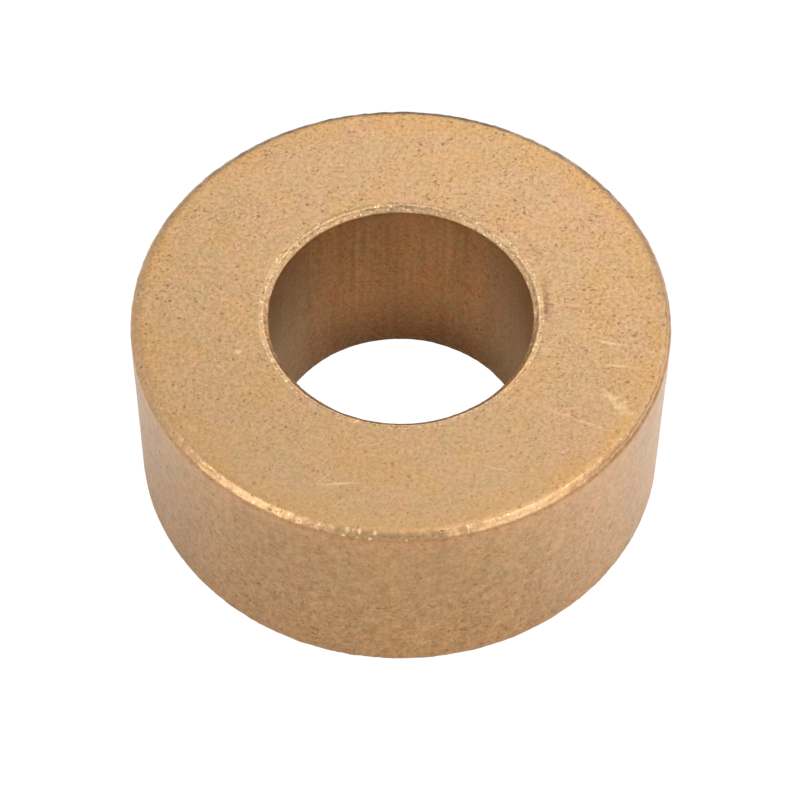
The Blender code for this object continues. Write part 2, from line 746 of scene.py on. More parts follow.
@dataclass(frozen=True, kw_only=True)
class EndFaceFinish(Finish):
    """A flat end as it left the press: matt, porous and patchy, with hairlines and handling marks."""

    name: str = "end_face_bronze"
    roughness: float = 0.52
    oil: float = 0.5
    oil_roughness: float = 0.32
    patches: float = 0.55
    grain: Grain = Grain(pores=0.60, dust=0.60, specks=0.45, mottle=0.095)
    relief: float = 0.016
    rim_radius: float
    lip_radius: float
    marks: tuple[Mark, ...]
    gilt_width: float = 2.2
    bare_rim: float = 0.5
    lip_stain_width: float = 0.9
    lip_stain: float = 0.55
    hairlines: float = 0.12
    hairline_strength: float = 0.35
    # Painted shade at the front and painted light at the back, as gains on the colour.
    front_painted_shade: float = 0.925
    back_painted_light: float = 1.06
    front_grain: float = 0.62
    back_grain: float = 1.1

    def dress(self, dressing: Dressing, metal: Socket) -> None:
        """Gild the rim, stain the lip, paint shade at the front and light at the back, then add grain,
        hairlines and marks.

        Args:
            dressing: The material that is being built.
            metal: The metal's patchy colour.
        """
        bench, place, radius = dressing.bench, dressing.place, dressing.radius
        rim = bench.ease(radius, self.rim_radius - self.gilt_width, self.rim_radius - self.bare_rim)
        stain = bench.noise(bench.placed(place, shift=(0.0, 21.0, 0.0)), scale=0.33, detail=3.0)
        stain = bench.ease(stain, 0.46, 0.66)
        gilt = bench.times(rim, bench.scaled(stain, 0.5, 0.4))
        colour = bench.blend(gilt, metal, self.bronze.straw)
        lip_end = self.lip_radius + self.lip_stain_width
        lip = bench.ease(radius, self.lip_radius, lip_end, low=self.lip_stain, high=0.0)
        colour = bench.blend(bench.times(lip, stain), colour, self.bronze.olive)
        # Painted shade and light: the face is darker at the front and lighter at the back, and its grain
        # shows less at the front.
        across = bench.split(place)[1]
        gain = bench.ease(across, -self.rim_radius, self.rim_radius * 0.8, self.front_painted_shade, self.back_painted_light)
        colour = bench.brighten(colour, gain)
        grain_front_to_back = bench.ease(across, -self.rim_radius, 0.0, low=self.front_grain, high=self.back_grain)
        colour = self.grained(dressing, colour, grain_front_to_back)

        lines = bench.use(hairline_group(), Place=place, Amount=self.hairlines).outputs["Lines"]
        scratches = bench.times(lines, self.hairline_strength)
        stains: object = 0.0
        for mark in self.marks:
            shown = self.stroke(dressing, mark)
            if mark.dark:
                stains = bench.larger(stains, shown)
            else:
                scratches = bench.larger(scratches, shown)
        colour = bench.blend(stains, colour, self.bronze.pore)
        colour = bench.blend(scratches, colour, self.bronze.speck)
        rough = bench.scaled(dressing.grain.outputs["Mottle"], 0.24, self.roughness - 0.12)
        rough = bench.math("SUBTRACT", rough, bench.times(scratches, 0.12), clamp=True)
        dressing.paint(colour, rough, dressing.grain.outputs["Height"], self.relief)


@dataclass(frozen=True, kw_only=True)
class OutsideFinish(Finish):
    """The outside wall as the sizing die left it: smoother, pinker, streaked along the axis, worn below."""

    name: str = "outside_bronze"
    roughness: float = 0.44
    oil: float = 1.0
    oil_index: float = 1.6
    patches: float = 0.55
    grain: Grain = Grain(pores=0.5, dust=0.8, specks=0.3, mottle=0.10)
    stretch: float = 1.25
    relief: float = 0.012
    length: float
    chamfer_depth: float
    dirty_from: float
    streak_gain: float = 0.055
    band_gain: float = 0.03
    wear: float = 0.75
    pit_share: float = 0.13
    pit_strength: float = 0.7
    glow_start: float = 1.9
    glow_end: float = 0.7
    glow: float = 0.7
    cloud_light: float = 0.06
    seam_drop: float = 0.04
    # Painted light towards the foot of the wall, as a gain on the colour.
    foot_painted_light: float = 1.09

    def dress(self, dressing: Dressing, metal: Socket) -> None:
        """Streak the wall, wear and pit it lower down, warm its top, add grain and a seam, then paint light
        on its foot.

        Args:
            dressing: The material that is being built.
            metal: The metal's patchy colour.
        """
        bench, place, height = dressing.bench, dressing.place, dressing.height
        streaks = bench.use(streak_group(), Place=place).outputs
        upper = bench.ease(height, self.length * 0.35, self.length * 0.85)
        gain = bench.ease(streaks["Fine"], 0.30, 0.70, -self.streak_gain, self.streak_gain)
        gain = bench.times(gain, bench.ease(upper, 0.0, 1.0, low=0.35))
        broad = bench.ease(streaks["Broad"], 0.30, 0.70, -self.band_gain, self.band_gain)
        colour = bench.brighten(metal, bench.plus(bench.plus(gain, broad), 1.0))

        bands = bench.noise(bench.placed(place, (0.5, 0.5, 2.2)), scale=2.4, roughness=0.6)
        worn = bench.ease(upper, 0.0, 1.0, low=self.wear, high=0.06)
        worn = bench.times(bench.ease(bands, 0.64, 0.76), worn)
        colour = bench.blend(worn, colour, self.bronze.pore)
        flattened = bench.placed(place, (0.9, 0.9, 4.0), shift=(2.0, 7.0, 1.0))
        distance, chance, _ = bench.cells(flattened, scale=1.0)
        pit = bench.ease(distance, 0.10, 0.30, low=self.pit_strength, high=0.0)
        pit = bench.times(pit, bench.fewer(chance, self.pit_share))
        pit = bench.times(pit, bench.ease(upper, 0.0, 1.0, low=1.0, high=0.25))
        colour = bench.blend(pit, colour, self.bronze.pore)
        glow_start, glow_end = self.length - self.glow_start, self.length - self.glow_end
        top_glow = bench.ease(height, glow_start, glow_end, high=self.glow)
        colour = bench.blend(top_glow, colour, self.bronze.copper)
        cloudy = bench.placed(place, (1.0, 1.0, 0.8), shift=(17.0, 3.0, 8.0))
        cloudy = bench.noise(cloudy, scale=1.9, detail=3.0, roughness=0.65)
        colour = bench.lifted(colour, bench.ease(cloudy, 0.28, 0.72, -self.cloud_light, self.cloud_light))
        colour = self.grained(dressing, colour, bench.ease(upper, 0.0, 1.0, low=0.85, high=0.60))
        seam = Seam(self.length - self.chamfer_depth - self.seam_drop, width=0.14, strength=0.5)
        colour = self.seamed(dressing, colour, seam, height, self.dirty_from, self.bronze.pore)
        # Painted light: the wall is lighter towards its foot, against the shade that the table leaves there.
        colour = bench.brighten(colour, bench.ease(height, 0.0, self.length * 0.55, low=self.foot_painted_light))

        dry = bench.larger(bench.times(dressing.grain.outputs["Dark"], 0.6), pit)
        bench.feed(dressing.shader.inputs["Coat Weight"], bench.math("SUBTRACT", 1.0, dry, clamp=True))
        rough = bench.scaled(streaks["Fine"], 0.16, self.roughness - 0.08)
        ridges = bench.times(streaks["Fine"], bench.ease(upper, 0.0, 1.0, low=0.3, high=0.9))
        dressing.paint(colour, rough, bench.plus(dressing.grain.outputs["Height"], ridges), self.relief)


@dataclass(frozen=True, kw_only=True)
class BoreFinish(Finish):
    """The running surface: smooth and dark, streaked along the axis, with few open pores."""

    name: str = "bore_bronze"
    roughness: float = 0.40
    oil: float = 0.35
    patches: float = 0.6
    grain: Grain = Grain(pores=0.25, dust=0.6, specks=0.10, mottle=0.085)
    relief: float = 0.009
    radius: float
    length: float
    streak_gain: float = 0.13
    band_gain: float = 0.10
    # Painted shade towards the foot of the bore, deep in the hole.
    foot_painted_shade: float = 0.6
    # Painted reflection: a greyer olive tint on the bore's left and right flanks.
    flank_painted_reflection: float = 0.6

    def dress(self, dressing: Dressing, metal: Socket) -> None:
        """Streak the bore, paint shade on its foot, paint a greyer olive reflection on its flanks and add
        grain.

        Args:
            dressing: The material that is being built.
            metal: The metal's patchy colour.
        """
        bench, height = dressing.bench, dressing.height
        streaks = bench.use(streak_group(), Place=dressing.place).outputs
        drawn = bench.ease(height, self.length * 0.25, self.length * 0.75, low=0.4)
        fine = bench.ease(streaks["Fine"], 0.25, 0.75, -self.streak_gain, self.streak_gain)
        broad = bench.ease(streaks["Broad"], 0.30, 0.70, 1.0 - self.band_gain, 1.0 + self.band_gain)
        colour = bench.brighten(metal, bench.scaled(fine, drawn, broad))
        # Painted shade: the bore darkens towards its foot, deep in the hole, in the pore colour.
        painted_foot_shade = bench.ease(height, 0.0, self.length * 0.45, low=self.foot_painted_shade, high=0.0)
        colour = bench.blend(painted_foot_shade, colour, self.bronze.pore)
        # Painted reflection: a greyer olive tint on the left and right flanks, seen at a glancing angle.
        sideways = bench.size_of(bench.split(dressing.place)[0])
        painted_flank = bench.ease(sideways, self.radius * 0.5, self.radius * 0.9, high=self.flank_painted_reflection)
        colour = bench.blend(painted_flank, colour, self.bronze.olive)
        colour = self.grained(dressing, colour)
        rough = bench.scaled(streaks["Fine"], 0.2, self.roughness - 0.1)
        relief = bench.scaled(streaks["Fine"], 0.4, dressing.grain.outputs["Height"])
        dressing.paint(colour, rough, relief, self.relief)


@dataclass(frozen=True, kw_only=True)
class EdgeFinish(Finish):
    """A broken edge that tumbling has burnished: fine facets with painted light and shade, a few painted
    sparkle highlights and dirt along its seams.
    """

    roughness: float = 0.30
    oil: float = 0.6
    oil_roughness: float = 0.24
    patches: float = 0.5
    grain: Grain = Grain(pores=0.25, dust=0.35, specks=0.3, mottle=0.08)
    sparkles: float
    facet_light_and_shade: float
    dirt: Colour
    dirty_from: float
    measure: Measure
    seams: tuple[Seam, ...]
    glints: tuple[Mark, ...] = ()
    # Painted light on the left and right flanks, as a gain on the colour.
    flank_painted_light: float = 1.0
    flank_from: float = 4.0
    flank_to: float = 7.0

    def dress(self, dressing: Dressing, metal: Socket) -> None:
        """Paint light and shade on the facets, add grain and painted sparkles, lay its seams and painted
        glints over them, and paint light on its flanks.

        Args:
            dressing: The material that is being built.
            metal: The metal's patchy colour.
        """
        bench, place = dressing.bench, dressing.place
        edge = bench.use(burnish_group(), Place=place, Sparkles=self.sparkles).outputs
        # Painted light and shade: the facet noise brightens and darkens the colour.
        facets = bench.ease(edge["Facets"], 0.25, 0.75, 1.0 - self.facet_light_and_shade, 1.0 + self.facet_light_and_shade)
        colour = self.grained(dressing, bench.brighten(metal, facets))
        # Painted highlights: the brightest facet cells are sparkles in the speck colour.
        colour = bench.blend(bench.times(edge["Sparkles"], 0.85), colour, self.bronze.speck)
        distance = dressing.measures.outputs[self.measure.value]
        for seam in self.seams:
            colour = self.seamed(dressing, colour, seam, distance, self.dirty_from, self.dirt)
        # Painted highlights: the glints are bright spots in the speck colour.
        for glint in self.glints:
            colour = bench.blend(self.stroke(dressing, glint), colour, self.bronze.speck)
        # Painted light: the edge is lighter on its left and right flanks.
        sideways = bench.size_of(bench.split(place)[0])
        painted_flank = bench.ease(sideways, self.flank_from, self.flank_to, low=1.0, high=self.flank_painted_light)
        rough = bench.scaled(edge["Facets"], 0.3, self.roughness - 0.12)
        relief = bench.plus(edge["Height"], dressing.grain.outputs["Height"])
        dressing.paint(bench.brighten(colour, painted_flank), rough, relief, self.relief)


# ---- Modelling ----


class Domain(Enum):
    """Which elements of a mesh are selected."""

    VERT = "VERT"
    EDGE = "EDGE"
    FACE = "FACE"


class Surface(Enum):
    """The surfaces of the ring that have a finish of their own."""

    END_FACE = "end_face"
    OUTSIDE = "outside"
    BORE = "bore"
    OUTER_EDGE = "outer_edge"
    BORE_EDGE = "bore_edge"


def deselect_all() -> None:
    """Leave no object selected."""
    if bpy.context.object and bpy.context.object.mode != "OBJECT":
        bpy.ops.object.mode_set(mode="OBJECT")
    bpy.ops.object.select_all(action="DESELECT")


def select_by_place(piece: bpy.types.Object, domain: Domain, test: Callable[[Vector], bool]) -> None:
    """Select the elements of a mesh in edit mode whose middle passes a test, and no others.

    Args:
        piece: The object that is being edited.
        domain: The kind of element.
        test: Says whether a point is wanted.
    """
    bpy.ops.mesh.select_mode(type=domain.value)
    bpy.ops.mesh.select_all(action="DESELECT")
    mesh = bmesh.from_edit_mesh(piece.data)
    elements = {Domain.VERT: mesh.verts, Domain.EDGE: mesh.edges, Domain.FACE: mesh.faces}[domain]
    for element in elements:
        if domain is Domain.VERT:
            middle = element.co
        else:
            middle = sum((v.co for v in element.verts), Vector()) / len(element.verts)
        if test(middle):
            element.select_set(True)
    mesh.select_flush_mode()
    bmesh.update_edit_mesh(piece.data)


def radius_of(point: Vector) -> float:
    """Give a point's distance from the ring's axis."""
    return math.hypot(point.x, point.y)


@dataclass(frozen=True)
class Dent:
    """A small hollow, knocked down into the upper face. Sizes are in millimetres, the bearing in degrees."""

    bearing: float
    radius: float
    reach: float
    depth: float


@dataclass(frozen=True)
class Roughening:
    """A cloud of lumps that pushes a surface in and out by a depth in all. Sizes are in metres."""

    name: str
    lump: float
    depth: float


@dataclass
class SinteredSleeve:
    """The bushing's one piece: a thick ring with broken edges and a pressed lip round the bore."""

    outer_radius: float
    bore_radius: float
    length: float
    outer_chamfer_width: float = 0.50 * MM
    outer_chamfer_depth: float = 0.35 * MM
    outer_softness: float = 0.15 * MM
    bore_chamfer_width: float = 0.30 * MM
    bore_chamfer_depth: float = 0.30 * MM
    bore_softness: float = 0.06 * MM
    lip_width: float = 0.26 * MM
    groove_depth: float = 0.014 * MM
    groove_fade: float = 0.006 * MM
    groove_fade_out: float = 0.15 * MM
    coarse_step: float = 0.28 * MM
    edge_step: float = 0.075 * MM
    lip_step: float = 0.050 * MM
    lip_run: float = 0.80 * MM
    edge_run: float = 0.45 * MM
    wall_run: float = 0.70 * MM
    steps_round: int = 560
    cut_tolerance: float = 0.0001 * MM
    weld_distance: float = 0.004 * MM
    smooth_angle: float = 60.0
    waves: Roughening = Roughening("handling_waves", 2.5 * MM, 0.030 * MM)
    lumps: Roughening = Roughening("edge_lumps", 0.60 * MM, 0.065 * MM)
    nicks: Roughening = Roughening("edge_nicks", 0.24 * MM, 0.050 * MM)
    outer_reach: float = 0.25 * MM
    bore_reach: float = 0.34 * MM
    bore_share: float = 0.5
    name: str = "tumbled_sleeve"

    @classmethod
    def from_frame(cls) -> "SinteredSleeve":
        """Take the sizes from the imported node."""
        low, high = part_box(CAD_NODE)
        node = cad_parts[CAD_NODE]
        bore = min(radius_of(vertex.co) for vertex in node.data.vertices)
        return cls(outer_radius=high.x, bore_radius=bore, length=high.z - low.z)

    def build(
        self, finishes: dict[Surface, bpy.types.Material], dents: tuple[Dent, ...]
    ) -> bpy.types.Object:
        """Model and dress the ring.

        Args:
            finishes: The material of each surface.
            dents: The hollows to knock in.

        Returns:
            The finished ring.
        """
        piece = self._cut_section()
        self._divide_section(piece)
        self._turn_section()
        self._press_lip(piece)
        for roughening, weigh in (
            (self.waves, lambda point: 1.0),
            (self.lumps, self._by_the_edges),
            (self.nicks, self._by_the_edges),
        ):
            self._roughen(piece, roughening, weigh)
        for dent in dents:
            self._knock(piece, dent)
        self._dress(piece, finishes)
        return piece

    def _cut_section(self) -> bpy.types.Object:
        """Cut the wall's section from a plane: a rectangle whose corners are taken off and softened."""
        deselect_all()
        middle = (self.outer_radius + self.bore_radius) / 2
        bpy.ops.mesh.primitive_plane_add(
            size=1.0, location=(middle, 0.0, self.length / 2), rotation=(math.radians(90.0), 0.0, 0.0)
        )
        piece = bpy.context.object
        piece.name = self.name
        piece.data.name = self.name
        piece.scale = (self.outer_radius - self.bore_radius, self.length, 1.0)
        bpy.ops.object.transform_apply(location=True, rotation=True, scale=True)

        bpy.ops.object.mode_set(mode="EDIT")
        for side, radius, width, depth in (
            (1.0, self.outer_radius, self.outer_chamfer_width, self.outer_chamfer_depth),
            (-1.0, self.bore_radius, self.bore_chamfer_width, self.bore_chamfer_depth),
        ):
            for end, corner_height in ((1.0, self.length), (-1.0, 0.0)):
                bpy.ops.mesh.select_all(action="SELECT")
                bpy.ops.mesh.bisect(
                    plane_co=(radius, 0.0, corner_height - end * depth),
                    plane_no=Vector((side * depth, 0.0, end * width)).normalized(),
                    clear_outer=True,
                    threshold=self.cut_tolerance,
                )
        shoulder = self.outer_radius - self.outer_chamfer_width * 1.5
        for softness, test in (
            (self.outer_softness, lambda point: point.x > shoulder),
            (self.bore_softness, lambda point: point.x <= shoulder),
        ):
            select_by_place(piece, Domain.VERT, test)
            bpy.ops.mesh.bevel(offset=softness, offset_type="OFFSET", segments=3, affect="VERTICES")
        bpy.ops.mesh.select_all(action="SELECT")
        bpy.ops.mesh.delete(type="ONLY_FACE")
        bpy.ops.object.mode_set(mode="OBJECT")
        return piece

    def _divide_section(self, piece: bpy.types.Object) -> None:
        """Divide the section's long runs: finely by the upper edges and coarsely between them.

        Args:
            piece: The section.
        """
        lip_end = self.bore_radius + self.lip_run
        shoulder = self.outer_radius - self.outer_chamfer_width - self.edge_run
        wall_top = self.length - self.outer_chamfer_depth - self.wall_run
        lip_foot = self.length - self.bore_chamfer_depth - 0.1 * MM

        def step_for(point: Vector) -> float:
            """Give the wanted step of a run whose middle is at a point."""
            if point.z > lip_foot and point.x < lip_end:
                return self.lip_step
            if point.z > wall_top and point.x > shoulder:
                return self.edge_step
            return self.coarse_step

        bpy.ops.object.mode_set(mode="EDIT")
        for point, direction in (
            ((lip_end, 0.0, 0.0), (1.0, 0.0, 0.0)),
            ((shoulder, 0.0, 0.0), (1.0, 0.0, 0.0)),
            ((0.0, 0.0, wall_top), (0.0, 0.0, 1.0)),
        ):
            bpy.ops.mesh.select_all(action="SELECT")
            bpy.ops.mesh.bisect(plane_co=point, plane_no=direction, threshold=self.cut_tolerance)
        mesh = bmesh.from_edit_mesh(piece.data)
        runs = [(edge.verts[0].co.copy(), edge.verts[1].co.copy()) for edge in mesh.edges]
        for start, end in runs:
            middle = (start + end) / 2
            cuts = round((end - start).length / step_for(middle)) - 1
            if cuts < 1:
                continue
            select_by_place(piece, Domain.EDGE, lambda point, m=middle: (point - m).length < 0.001 * MM)
            bpy.ops.mesh.subdivide(number_cuts=cuts)
        bpy.ops.object.mode_set(mode="OBJECT")

    def _turn_section(self) -> None:
        """Spin the divided section once round the axis and close it."""
        bpy.ops.object.mode_set(mode="EDIT")
        bpy.ops.mesh.select_all(action="SELECT")
        bpy.ops.mesh.spin(
            steps=self.steps_round, angle=math.tau, center=(0.0, 0.0, 0.0), axis=tuple(UP)
        )
        bpy.ops.mesh.select_all(action="SELECT")
        bpy.ops.mesh.remove_doubles(threshold=self.weld_distance)
        bpy.ops.mesh.normals_make_consistent(inside=False)
        bpy.ops.object.mode_set(mode="OBJECT")

    def _press_lip(self, piece: bpy.types.Object) -> None:
        """Sink a fine groove into the upper face round the bore, which leaves a lip by the bore's edge.

        Args:
            piece: The ring.
        """
        face_band, groove_half = 0.05 * MM, 0.03 * MM
        foot = self.bore_radius + self.bore_chamfer_width + self.lip_width / 2
        for radius, drop in ((foot, self.groove_depth), (foot + self.groove_fade_out, self.groove_fade)):

            def in_groove(point: Vector, middle: float = radius) -> bool:
                """Say whether a point of the upper face lies in the groove."""
                on_face = point.z > self.length - face_band
                return on_face and abs(radius_of(point) - middle) < groove_half

            bpy.ops.object.mode_set(mode="EDIT")
            select_by_place(piece, Domain.VERT, in_groove)
            bpy.ops.transform.translate(value=(0.0, 0.0, -drop))
            bpy.ops.object.mode_set(mode="OBJECT")

    def _by_the_edges(self, point: Vector) -> float:
        """Weigh a point by how close it is to a broken edge.

        Args:
            point: A point of the ring.

        Returns:
            1 on the outer edges and less on the bore's, easing to 0 a little way past them.
        """
        radius = radius_of(point)
        from_end = min(point.z, self.length - point.z)
        to_outer = math.hypot(
            max(0.0, self.outer_radius - self.outer_chamfer_width - radius),
            max(0.0, from_end - self.outer_chamfer_depth),
        )
        to_bore = math.hypot(
            max(0.0, radius - self.bore_radius - self.bore_chamfer_width),
            max(0.0, from_end - self.bore_chamfer_depth),
        )
        near_outer = max(0.0, 1.0 - to_outer / self.outer_reach)
        near_bore = max(0.0, 1.0 - to_bore / self.bore_reach) * self.bore_share
        return max(near_outer, near_bore)

    def _roughen(
        self, piece: bpy.types.Object, roughening: Roughening, weigh: Callable[[Vector], float]
    ) -> None:
        """Push the surface in and out by a cloud texture.

        Args:
            piece: The ring.
            roughening: The lumps.
            weigh: Gives each point's share of the depth.
        """
        weights = piece.vertex_groups.new(name=roughening.name)
        for vertex in piece.data.vertices:
            share = weigh(vertex.co)
            if share > 0.0:
                weights.add([vertex.index], share, "REPLACE")
        clouds = bpy.data.textures.new(roughening.name, "CLOUDS")
        clouds.noise_scale = roughening.lump
        clouds.noise_depth = 2
        push = piece.modifiers.new(roughening.name, "DISPLACE")
        push.texture = clouds
        push.texture_coords = "LOCAL"
        push.strength = roughening.depth
        push.mid_level = 0.5
        push.vertex_group = weights.name
        deselect_all()
        piece.select_set(True)
        bpy.context.view_layer.objects.active = piece
        bpy.ops.object.modifier_apply(modifier=push.name)
        piece.vertex_groups.remove(piece.vertex_groups[roughening.name])

    def _knock(self, piece: bpy.types.Object, dent: Dent) -> None:
        """Knock one dent into the ring's upper face.

        Args:
            piece: The ring.
            dent: The dent.
        """
        bearing = math.radians(dent.bearing)
        outward = Vector((math.cos(bearing), math.sin(bearing), 0.0))
        centre = outward * dent.radius * MM + UP * self.length
        reach = dent.reach * MM
        for vertex in piece.data.vertices:
            distance = (vertex.co - centre).length
            if distance < reach:
                vertex.co -= UP * dent.depth * MM * (1.0 - (distance / reach) ** 2) ** 2

    def _dress(self, piece: bpy.types.Object, finishes: dict[Surface, bpy.types.Material]) -> None:
        """Give each surface its finish and shade the ring smooth.

        Args:
            piece: The ring.
            finishes: The material of each surface.
        """
        outer_edge = self.outer_radius - self.outer_chamfer_width
        bore_edge = self.bore_radius + self.bore_chamfer_width

        def surface_of(point: Vector) -> Surface:
            """Name the surface that a face lies on.

            Args:
                point: The face's middle.

            Returns:
                The surface.
            """
            radius = radius_of(point)
            from_end = min(point.z, self.length - point.z)
            if radius > outer_edge:
                return Surface.OUTSIDE if from_end > self.outer_chamfer_depth else Surface.OUTER_EDGE
            if radius < bore_edge:
                return Surface.BORE if from_end > self.bore_chamfer_depth else Surface.BORE_EDGE
            on_lip = point.z > self.length / 2 and radius < bore_edge + self.lip_width
            return Surface.BORE_EDGE if on_lip else Surface.END_FACE

        for material in finishes.values():
            piece.data.materials.append(material)
        bpy.ops.object.mode_set(mode="EDIT")
        for index, surface in enumerate(finishes):
            select_by_place(piece, Domain.FACE, lambda point, s=surface: surface_of(point) is s)
            piece.active_material_index = index
            bpy.ops.object.material_slot_assign()
        bpy.ops.object.mode_set(mode="OBJECT")
        bpy.ops.object.shade_smooth_by_angle(angle=math.radians(self.smooth_angle))


# ---- Studio ----


@dataclass(frozen=True)
class Softbox:
    """One square softbox that faces the ring. The bearing and height are in degrees, sizes in metres."""

    name: str
    bearing: float
    height: float
    size: float
    radiance: float
    distance: float = 0.35

    def build(self, target: Vector) -> None:
        """Add the light.

        Args:
            target: The point that it faces.
        """
        turn, rise = math.radians(self.bearing), math.radians(self.height)
        level = math.cos(rise)
        away = Vector((math.sin(turn) * level, -math.cos(turn) * level, math.sin(rise)))
        lamp = bpy.data.lights.new(self.name, "AREA")
        lamp.shape = "SQUARE"
        lamp.size = self.size
        lamp.energy = self.radiance * math.pi * self.size**2
        light = bpy.data.objects.new(self.name, lamp)
        light.location = target + away * self.distance
        light.rotation_mode = "QUATERNION"
        light.rotation_quaternion = (-away).to_track_quat("-Z", "Y")
        light.visible_camera = False
        bpy.context.scene.collection.objects.link(light)


SOFTBOXES = (
    Softbox("left_softbox", bearing=-60.0, height=48.0, size=0.17, radiance=1.8),
    Softbox("right_softbox", bearing=49.0, height=48.0, size=0.16, radiance=1.32),
    Softbox("side_softbox", bearing=112.0, height=24.0, size=0.24, radiance=0.45),
    Softbox("window_softbox", bearing=168.0, height=42.0, size=0.07, radiance=0.6, distance=0.10),
    Softbox("overhead_softbox", bearing=80.0, height=70.0, size=0.05, radiance=2.2, distance=0.10),
)


@dataclass
class Table:
    """A white table top under the ring. Its tones are what the ring's wall mirrors, place by place."""

    outer_radius: float
    bore_radius: float
    foot_margin: float = 0.1 * MM
    size: float = 1.2
    tone: float = 0.80
    right_tone: float = 1.0
    right_start: float = 0.006
    right_end: float = 0.018
    left_tone: float = 0.90
    left_start: float = -0.020
    left_end: float = -0.012
    far_tone: float = 0.12
    far_start: float = 0.028
    far_end: float = 0.042
    glow: float = 1.05

    def build(self) -> None:
        """Lay it: white to the eye, a soft reflector, clear from below and under the ring."""
        deselect_all()
        bpy.ops.mesh.primitive_plane_add(size=self.size, location=(0.0, 0.0, 0.0))
        table = bpy.context.object
        table.name = "white_table"
        material = bpy.data.materials.new("white_table")
        material.use_nodes = True
        nodes = material.node_tree.nodes
        nodes.remove(nodes["Principled BSDF"])
        bench = Bench(material.node_tree)
        place = bench.add("ShaderNodeTexCoord").outputs["Object"]
        paper = bench.add("ShaderNodeBsdfDiffuse", {"Color": self._tones(bench, place)})
        glow = bench.add("ShaderNodeEmission", {"Strength": self.glow})
        clear = bench.add("ShaderNodeBsdfTransparent")
        seen = bench.add("ShaderNodeLightPath").outputs["Is Camera Ray"]
        shown = bench.add("ShaderNodeMixShader", {0: seen, 1: paper.outputs[0], 2: glow.outputs[0]})
        from_axis = bench.from_axis(place)
        inside = bench.fewer(from_axis, self.outer_radius - self.foot_margin)
        outside = bench.math("GREATER_THAN", from_axis, self.bore_radius + self.foot_margin)
        back = bench.add("ShaderNodeNewGeometry").outputs["Backfacing"]
        cut_out = bench.larger(back, bench.times(inside, outside))
        top = bench.add("ShaderNodeMixShader", {0: cut_out, 1: shown.outputs[0], 2: clear.outputs[0]})
        bench.feed(nodes["Material Output"].inputs["Surface"], top.outputs[0])
        table.data.materials.append(material)

    def _tones(self, bench: Bench, place: Socket) -> Socket:
        """Work out the table's tone at a point.

        Args:
            bench: The material's bench.
            place: The point, in metres.

        Returns:
            The tone.
        """
        x, y, _ = bench.split(place)
        right = bench.ease(x, self.right_start, self.right_end, self.tone, self.right_tone)
        left = bench.ease(x, self.left_start, self.left_end, self.left_tone - self.tone, 0.0)
        behind = bench.math("SUBTRACT", y, bench.size_of(x))
        return bench.ease(behind, self.far_start, self.far_end, bench.plus(right, left), self.far_tone)


@dataclass
class Studio:
    """Soft, even light round the ring, and the camera. Angles are in degrees."""

    target: Vector
    outer_radius: float
    lens: float = 142.4
    radii_away: float = 12.03
    elevation: float = 53.85
    tilt: float = -0.377
    pan: float = 0.007
    roll: float = 0.49
    sky_white: float = 0.85
    white_from: float = 0.35
    low_sky: float = 0.45
    low_sky_end: float = 0.35
    side_sky: float = 0.80
    side_sky_start: float = 0.75
    camera_shadow: float = 0.66
    shadow_spread: float = 30.0
    shadow_core: float = 0.97
    glow: float = 1.05

    def build(self) -> None:
        """Set the sky, the lights, the camera and the plain view transform."""
        self._sky()
        for box in SOFTBOXES:
            box.build(self.target)
        self._camera()
        scene = bpy.context.scene
        scene.view_settings.view_transform = "Standard"
        scene.view_settings.look = "None"

    def _towards_camera(self) -> Vector:
        """Give the direction from the ring to the camera."""
        rise = math.radians(self.elevation)
        return Vector((0.0, -math.cos(rise), math.sin(rise)))

    def _sky(self) -> None:
        """Surround the ring with an even white tent that is greyer near the table, and white to the eye."""
        world = bpy.data.worlds.new("light_tent")
        world.use_nodes = True
        bpy.context.scene.world = world
        bench = Bench(world.node_tree)
        direction = bench.add("ShaderNodeTexCoord").outputs["Generated"]
        x, _, z = bench.split(direction)
        sideways = bench.size_of(x)
        low = bench.ease(sideways, self.low_sky_end, self.side_sky_start, self.low_sky, self.side_sky)
        level = bench.ease(z, 0.0, self.white_from, low, self.sky_white)
        fed = {0: direction, 1: self._towards_camera()}
        towards = bench.add("ShaderNodeVectorMath", fed, operation="DOT_PRODUCT").outputs["Value"]
        shadow_edge = math.cos(math.radians(self.shadow_spread))
        shadow = bench.ease(towards, shadow_edge, self.shadow_core, 1.0, self.camera_shadow)
        level = bench.times(level, shadow)
        seen = bench.add("ShaderNodeLightPath").outputs["Is Camera Ray"]
        background = world.node_tree.nodes["Background"]
        bench.feed(background.inputs["Strength"], bench.larger(level, bench.times(seen, self.glow)))
        background.inputs["Color"].default_value = (1.0, 1.0, 1.0, 1.0)

    def _camera(self) -> None:
        """Add the camera: in front, well above the ring, far off with a long lens."""
        back = self._towards_camera()
        lens = bpy.data.cameras.new("camera")
        lens.lens = self.lens
        lens.sensor_width = 36.0
        lens.clip_start = 0.01
        lens.clip_end = 10.0
        camera = bpy.data.objects.new("camera", lens)
        camera.location = self.target + back * (self.radii_away * self.outer_radius)
        camera.rotation_mode = "QUATERNION"
        rotation = (-back).to_track_quat("-Z", "Y")
        for axis, angle in (((0, 0, 1), self.roll), ((1, 0, 0), self.tilt), ((0, 1, 0), self.pan)):
            rotation = rotation @ Quaternion(axis, math.radians(angle))
        camera.rotation_quaternion = rotation
        bpy.context.scene.collection.objects.link(camera)
        bpy.context.scene.camera = camera


# ---- The bushing ----

